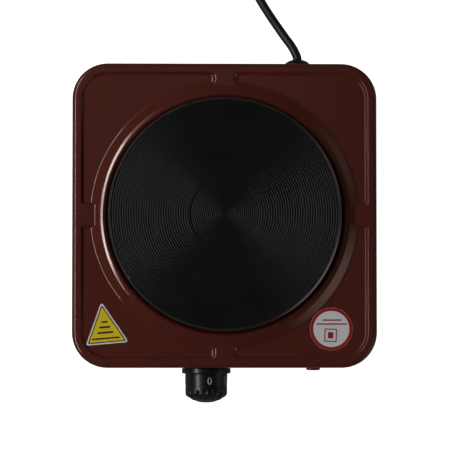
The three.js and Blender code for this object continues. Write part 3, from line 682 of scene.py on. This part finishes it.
foot_profile = [(5.5, 0.0, 0.4), (9.6, 0.0, 0.7), (10.5, 1.4, 0.6), (10.6, 3.2, 0.2), (10.2, 3.5, 0.2)]
foot_profile += [(10.25, 4.3, 0.2), (10.7, 4.6, 0.2), (10.8, 7.4, 0.2), (10.4, 7.7, 0.2), (10.45, 8.5, 0.2)]
foot_profile += [(10.9, 8.8, 0.2), (11.0, 11.7, 0.4), (2.2, 11.7), (2.2, 5.5), (5.5, 5.5, 0.3)]
for name in ("front_left", "front_right", "rear_left", "rear_right"):
    at = (*centre(f"foot_{name}")[:2], 0)
    foot = lathe_piece(f"rubber_foot_{name}", rounded(foot_profile), 48, MATERIALS["rubber"], at)
    give(foot, "housing", "rubber", f"foot_{name}")

# ---------------------------------------------------------------- plug and cord tie

CORD_MM = 7.0
PLUG_SEGMENTS = 360
PLUG_RIBS = 6
EARTH_NOTCH = {"half_width": 2.9, "floor_radius": 15.6, "from": 42.6}  # on each side, for the earth strips
GRIP = {"squeeze": 0.09, "from": 22, "to": 33}  # the flattened sides between the strain relief and the head


def build_plug():
    """The plug's moulding: ribbed strain relief, flattened sides to hold, and a round head with two notches."""
    profile = [(0, 6.0), (3.7, 6.0), (3.7, 0.0, 0.3), (5.0, 0.0, 0.6)]
    for i in range(PLUG_RIBS):
        r, h = 5.15 + 0.24 * i, 2.6 + 2.9 * i
        profile += [(r, h, 0.3), (r - 0.7, h + 0.3, 0.2), (r - 0.6, h + 1.2, 0.2), (r + 0.12, h + 1.5, 0.3)]
    profile += [(6.8, 20.5, 1.5), (10.4, 24.0, 2.0), (11.6, 34.0, 3.0), (17.2, 41.6, 1.5), (18.5, 43.6, 1.0)]
    profile += [(18.5, 50.0), (18.5, 57.0, 0.9), (16.4, 57.0, 0.3), (16.0, 56.6, 0.2), (0, 56.6)]
    points, faces = lathe_points(rounded(profile), PLUG_SEGMENTS)
    p = np.asarray(points)
    radius = np.hypot(p[:, 0], p[:, 1])
    notch = 1 - ease((np.abs(p[:, 1]) - EARTH_NOTCH["half_width"]) / 0.35)
    deep = notch * ease((p[:, 2] - EARTH_NOTCH["from"]) / 0.7)
    wanted = radius + (np.minimum(radius, EARTH_NOTCH["floor_radius"]) - radius) * deep
    keep = np.where(radius > 1e-6, wanted / np.maximum(radius, 1e-6), 1.0)
    grip = 1 - GRIP["squeeze"] * ease((p[:, 2] - GRIP["from"]) / 4) * (1 - ease((p[:, 2] - GRIP["to"]) / 5))
    p[:, 0] *= keep
    p[:, 1] *= keep * np.where(radius > 5.5, grip, 1.0)
    return mesh_piece("plug_moulding", placed(p, PLUG_AT, "right"), faces, MATERIALS["black_plastic"])


plug_pieces = [give(build_plug(), "housing", "black_plastic", "plug_body")]
pin_profile = [(0, 51.0), (2.4, 51.0), (2.4, 70.0, 0.2), (2.4, 74.6, 0.9), (1.0, 76.0, 0.6), (0, 76.0)]
for side in ("left", "right"):
    at = (PLUG_AT[0], centre(f"plug_pin_{side}")[1], PLUG_AT[2])
    pin = lathe_piece(f"round_pin_{side}", rounded(pin_profile), 40, MATERIALS["nickel"], at, "right")
    plug_pieces.append(give(pin, "housing", "nickel", f"plug_pin_{side}"))


TIE_AT = math.radians(150.0)  # where it goes round the winding
TIE_ROUND = 4.2
TIE_STEPS = 72


def build_tie():
    """A rubber band with rounded edges round the winding's section."""
    low, high = 0.08, 16.12
    height = (high + low) / 2
    half_height = (high - low) / 2
    half_width = half_height + 0.95
    middle_radius = (coil_high.x - coil_low.x) / 2 / MM - CORD_MM
    section = [(0.0, -2.6), (0.0, 2.6), (-0.12, 2.9), (-0.62, 2.9)]
    section += [(-0.74, 2.6), (-0.74, -2.6), (-0.62, -2.9), (-0.12, -2.9)]
    out = np.array([math.cos(TIE_AT), math.sin(TIE_AT)])
    along = np.array([-math.sin(TIE_AT), math.cos(TIE_AT)])
    points = []
    for a in np.arange(TIE_STEPS) * 2 * math.pi / TIE_STEPS:
        c, s = math.cos(a), math.sin(a)
        u = (half_width - TIE_ROUND) * np.sign(c) * (abs(c) > 1e-9) + TIE_ROUND * c
        v = (half_height - TIE_ROUND) * np.sign(s) * (abs(s) > 1e-9) + TIE_ROUND * s
        for depth, across in section:
            radial = middle_radius + 0.2 + u + depth * c
            xy = out * radial + along * across
            points.append((xy[0], xy[1], height + v + depth * s))
    faces = ring_faces(TIE_STEPS, len(section), closed=True)
    return mesh_piece("rubber_tie", placed(points, (*COIL_AT[:2], 0), "up"), faces, MATERIALS["rubber"])


tie = give(build_tie(), "housing", "rubber", "cord_tie")

# ---------------------------------------------------------------- printed labels


def prism_parts(outlines, low, high):
    """Closed prisms of flat outlines (lists of x, y in mm), as points and faces."""
    points, faces = [], []
    for outline in outlines:
        start, n = len(points), len(outline)
        points += [(x, y, low) for x, y in outline] + [(x, y, high) for x, y in outline]
        faces.append(tuple(start + i for i in reversed(range(n))))
        faces.append(tuple(start + n + i for i in range(n)))
        faces += [(start + i, start + (i + 1) % n, start + n + (i + 1) % n, start + n + i) for i in range(n)]
    return points, faces


def band_parts(outer, inner, low, high):
    """A closed flat band between two outlines with the same number of points."""
    loops = ((outer, low), (outer, high), (inner, high), (inner, low))
    points = [(x, y, z) for outline, z in loops for x, y in outline]
    return points, ring_faces(len(loops), len(outer), closed=True)


def joined(name, parts, materials, at):
    """One piece of several parts, each (points, faces, material number)."""
    points, faces, numbers = [], [], []
    for part_points, part_faces, number in parts:
        start = len(points)
        points += part_points
        faces += [tuple(start + v for v in face) for face in part_faces]
        numbers += [number] * len(part_faces)
    return mesh_piece(name, placed(points, at, "up"), faces, materials, numbers, smooth=False)


def triangle_outline(corners, inset, radius, steps=8):
    """A triangle moved inwards by inset, with rounded corners."""
    centre = sum((Vector(c) for c in corners), Vector((0, 0))) / 3
    sides = []
    for i in range(3):
        a, b = Vector(corners[i]), Vector(corners[(i + 1) % 3])
        normal = Vector((b.y - a.y, a.x - b.x)).normalized()
        if normal.dot(centre - a) < 0:
            normal = -normal
        sides.append((a + normal * inset, b + normal * inset))
    moved = []
    for i in range(3):
        (a, b), (c, d) = sides[i - 1], sides[i]
        u, v = b - a, d - c
        t = ((c.x - a.x) * v.y - (c.y - a.y) * v.x) / (u.x * v.y - u.y * v.x)
        moved.append((*(a + u * t), radius))
    return rounded(moved, steps)


def circle_outline(x, y, radius, sides=96):
    angles = [2 * math.pi * i / sides for i in range(sides)]
    return [(x + radius * math.cos(a), y + radius * math.sin(a)) for a in angles]


def bar_outline(x, y, width, height, angle=0.0, radius=0.3):
    """A bar with rounded corners round (x, y), turned by angle."""
    c, s = math.cos(angle), math.sin(angle)
    radius = min(radius, width / 2.1, height / 2.1)
    right, top = width / 2, height / 2
    corners = [(-right, -top), (right, -top), (right, top), (-right, top)]
    return rounded([(x + px * c - py * s, y + px * s + py * c, radius) for px, py in corners], 3)


LABEL_LOW = 59.82
FILM = 0.2  # thickness
PRINT = (-0.02, 0.04)  # from just inside the film to just over it
UNDERPRINT = (-0.02, 0.03)  # the same for a colour with ink on it
OVERPRINT = (0.01, 0.06)  # the same for the ink on that colour
TRIANGLE = [(-96.9, -68.0), (-109.1, -102.6), (-75.2, -99.6)]
TRIANGLE_ROUND = 1.8
TRIANGLE_BARS = [(9.0, 12.4), (13.2, 8.6), (17.4, 4.8)]  # height over the base, and width
SQUARE_TILT = -0.04


def printed(levels):
    """The low and the high side of a print whose levels are measured from the film's top."""
    return tuple(LABEL_LOW + FILM + level for level in levels)


def build_triangle_label():
    """A yellow triangle with a black outline and plain bars."""
    film = prism_parts([triangle_outline(TRIANGLE, 0.0, TRIANGLE_ROUND)], LABEL_LOW, LABEL_LOW + FILM)
    yellow = prism_parts([triangle_outline(TRIANGLE, 1.4, 0.9)], *printed(UNDERPRINT))
    outer, inner = triangle_outline(TRIANGLE, 1.1, 1.0), triangle_outline(TRIANGLE, 1.9, 0.5)
    line = band_parts(outer, inner, *printed(OVERPRINT))
    a, b = Vector(TRIANGLE[1]), Vector(TRIANGLE[2])
    across = (b - a).normalized()
    upwards = Vector((-across.y, across.x))
    tilt = math.atan2(across.y, across.x)
    middle = (a + b) / 2
    bars = [bar_outline(*(middle + upwards * 4.4 - across * 0.7), 21.8, 1.2, tilt)]
    for height, width in TRIANGLE_BARS:
        bars.append(bar_outline(*(middle + upwards * height - across * 0.7), width, 1.5, tilt))
    ink = prism_parts(bars, *printed(OVERPRINT))
    parts = [(*film, 0), (*yellow, 1), (*line, 2), (*ink, 2)]
    materials = [MATERIALS["white_label"], MATERIALS["yellow_label"], BLACK_INK]
    return joined("triangle_label", parts, materials, (0, HOUSING_Y, 0))


def build_round_label():
    """A white disc with a red rim, two red bars and a framed square."""
    low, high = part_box("round_sticker")
    x, y = centre("round_sticker")[0] / MM, centre("round_sticker")[1] / MM - HOUSING_Y / MM
    radius = (high.x - low.x) / 2 / MM
    film = prism_parts([circle_outline(x, y, radius)], LABEL_LOW, LABEL_LOW + FILM)
    rim = band_parts(circle_outline(x, y, radius - 0.1), circle_outline(x, y, radius - 2.6), *printed(PRINT))
    bars = [bar_outline(x + 0.6, y + 7.0, 15.0, 1.1), bar_outline(x + 0.2, y + 3.9, 24.0, 1.1)]
    square = (x - 0.6, y - 4.9)
    outer = bar_outline(*square, 9.8, 10.4, SQUARE_TILT, 0.9)
    inner = bar_outline(*square, 8.2, 8.8, SQUARE_TILT, 0.6)
    dot = bar_outline(*square, 4.2, 4.8, SQUARE_TILT, 0.5)
    ink = prism_parts(bars, *printed(PRINT))
    box = band_parts(outer, inner, *printed(PRINT))
    middle = prism_parts([dot], *printed(PRINT))
    parts = [(*film, 0), (*rim, 1), (*ink, 1), (*box, 1), (*middle, 1)]
    return joined("round_label", parts, [MATERIALS["white_label"], RED_INK], (0, HOUSING_Y, 0))


give(build_triangle_label(), "housing", "yellow_label", "triangle_sticker")
give(build_round_label(), "housing", "white_label", "round_sticker")

# ---------------------------------------------------------------- mains lead

# The middle line of the lead, from the housing to its coil and from the coil to the plug.
# y is measured from the housing's middle.
LEAD = [
    (59.0, 124.6, 30.0),
    (58.9, 127.6, 29.9),
    (57.4, 131.8, 29.4),
    (54.3, 137.6, 28.2),
    (49.4, 144.8, 25.3),
    (42.0, 156.5, 19.4),
    (35.0, 168.2, 13.0),
    (29.2, 178.8, 8.0),
    (25.0, 187.4, 5.0),
    (20.8, 196.2, 4.1),
    (15.0, 208.0, 4.4),
]
TAIL = [
    (58.0, 284.6, 12.4),
    (68.0, 284.6, 14.0),
    (76.0, 284.6, 15.5),
    (85.0, 284.6, 17.8),
    (92.0, 284.6, 18.8),
    (97.4, 284.6, 18.9),
]
WIND_START = 208.0  # degrees
WIND_TURNS = 3.328
WIND_POINTS = 60
# Where the winding moves from one place in its section to the next: the turns at the start and at the end of
# the move, and the radius and height of both places.
WIND_SLOTS = [
    (0.84, 1.00, (43.4, 4.6), (36.4, 4.6)),
    (1.66, 1.84, (36.4, 4.6), (36.4, 11.6)),
    (2.48, 2.66, (36.4, 11.6), (43.4, 11.6)),
]


def wound(turns):
    """Radius and height of the winding's middle line, in mm, after so many turns."""
    place = WIND_SLOTS[0][2]
    for start, end, before, after in WIND_SLOTS:
        if turns >= start:
            t = float(ease((turns - start) / (end - start)))
            place = [b + (a - b) * t for b, a in zip(before, after)]
    return place


coil_x = COIL_AT[0] / MM
coil_y = COIL_AT[1] / MM - HOUSING_Y / MM
coil_points = []
for i in range(WIND_POINTS + 1):
    turns = WIND_TURNS * i / WIND_POINTS
    radius, height = wound(turns)
    angle = math.radians(WIND_START - 360 * turns)
    coil_points.append((coil_x + radius * math.cos(angle), coil_y + radius * math.sin(angle), height))
route = [Vector((x * MM, y * MM + HOUSING_Y, z * MM)) for x, y, z in LEAD + coil_points + TAIL]

cord_curve = bpy.data.curves.new("mains_lead", "CURVE")
cord_curve.dimensions = "3D"
cord_curve.bevel_depth = CORD_MM * MM / 2
cord_curve.bevel_resolution = 6
cord_curve.resolution_u = 6
cord_curve.use_fill_caps = True
spline = cord_curve.splines.new("BEZIER")
spline.bezier_points.add(len(route) - 1)
for bezier, point in zip(spline.bezier_points, route):
    bezier.co = point
    bezier.handle_left_type = bezier.handle_right_type = "AUTO"
cord_curve.materials.append(MATERIALS["cord_sheath"])
lead = bpy.data.objects.new("mains_lead", cord_curve)
SCENE.collection.objects.link(lead)
give(lead, "housing", "cord_sheath", "power_cord", "cord_tail", "cord_coil")

# ---------------------------------------------------------------- floor and light


def fade_edges(light, power):
    """Makes a light brightest in its middle and dim at its edges, as a softbox is."""
    light.use_nodes = True
    tree = light.node_tree
    place = tree.nodes.new("ShaderNodeNewGeometry").outputs["Parametric"]
    away = tree.nodes.new("ShaderNodeVectorMath")
    away.operation = "DISTANCE"
    away.inputs[1].default_value = (0.5, 0.5, 0.0)
    tree.links.new(place, away.inputs[0])
    fall = tree.nodes.new("ShaderNodeMapRange")
    fall.interpolation_type = "SMOOTHSTEP"
    for key, value in (("From Min", 0.0), ("From Max", 0.5), ("To Min", power), ("To Max", 0.0)):
        fall.inputs[key].default_value = value
    tree.links.new(away.outputs["Value"], fall.inputs["Value"])
    tree.links.new(fall.outputs["Result"], tree.nodes["Emission"].inputs["Strength"])


def area_light(name, at, towards, width, height, power, faded=0.0, colour=(1.0, 1.0, 1.0)):
    """A rectangular light that the camera doesn't see. faded gives it a softbox's dim edges."""
    light = bpy.data.lights.new(name, "AREA")
    light.shape = "RECTANGLE"
    light.size = width
    light.size_y = height
    light.energy = power
    light.color = colour
    if faded:
        fade_edges(light, faded)
    lamp = bpy.data.objects.new(name, light)
    lamp.location = at
    lamp.rotation_euler = (Vector(towards) - Vector(at)).to_track_quat("-Z", "Y").to_euler()
    lamp.visible_camera = False
    SCENE.collection.objects.link(lamp)


def pale_floor():
    """A white sweep, bright where the camera sees it and dim to the light that bounces off it."""
    n = Nodes("pale_floor")
    seen = n.add("ShaderNodeLightPath").outputs["Is Camera Ray"]
    paper = n.noise(300.0, 3.0)
    glow = n.ramp(paper, [(0.3, (0.8, 0.8, 0.8)), (0.7, (0.84, 0.84, 0.84))])
    n.join(glow, n.shader.inputs["Emission Color"])
    n.join(n.spread(seen, 0.12, 1.25, 0.0, 1.0), n.shader.inputs["Emission Strength"])
    grey = n.ramp(seen, [(0.0, (0.12, 0.12, 0.12)), (1.0, (0.85, 0.85, 0.85))])
    n.join(grey, n.shader.inputs["Base Color"])
    n.set(Roughness=0.9)
    return n.material


FLOOR = 4.0  # half its width
floor_corners = [(-FLOOR, -FLOOR, 0), (FLOOR, -FLOOR, 0), (FLOOR, FLOOR, 0), (-FLOOR, FLOOR, 0)]
floor = mesh_piece("floor", floor_corners, [(0, 1, 2, 3)], pale_floor())

# The world's strength is 0.9 where the camera sees it, and 1.15 where it lights the object.
world = bpy.data.worlds.new("studio")
SCENE.world = world
world.use_nodes = True
sky = world.node_tree.nodes["Background"]
path = world.node_tree.nodes.new("ShaderNodeLightPath")
mix = world.node_tree.nodes.new("ShaderNodeMix")
mix.data_type = "FLOAT"
mix.inputs["A"].default_value = 1.15
mix.inputs["B"].default_value = 0.9
world.node_tree.links.new(path.outputs["Is Camera Ray"], mix.inputs["Factor"])
world.node_tree.links.new(mix.outputs["Result"], sky.inputs["Strength"])

WARM = (1.0, 0.8, 0.72)
middle = (0, HOUSING_Y, 0.06)
area_light("left_strip", (-1.0, 0.07, 0.95), middle, 1.7, 0.1, 10.5)
area_light("right_softbox", (1.35, -0.75, 0.5), middle, 2.2, 0.9, 8.5, faded=1.0, colour=WARM)
area_light("right_fill", (1.4, 0.65, 0.38), middle, 1.8, 0.8, 1.9, faded=1.0, colour=WARM)
area_light("rear_fill", (-0.95, 1.0, 1.0), middle, 1.0, 0.3, 3.0, faded=1.0)
area_light("left_haze", (-0.55, 0.75, 2.2), (-0.55, 0.75, 0.0), 1.5, 1.2, 0.5)
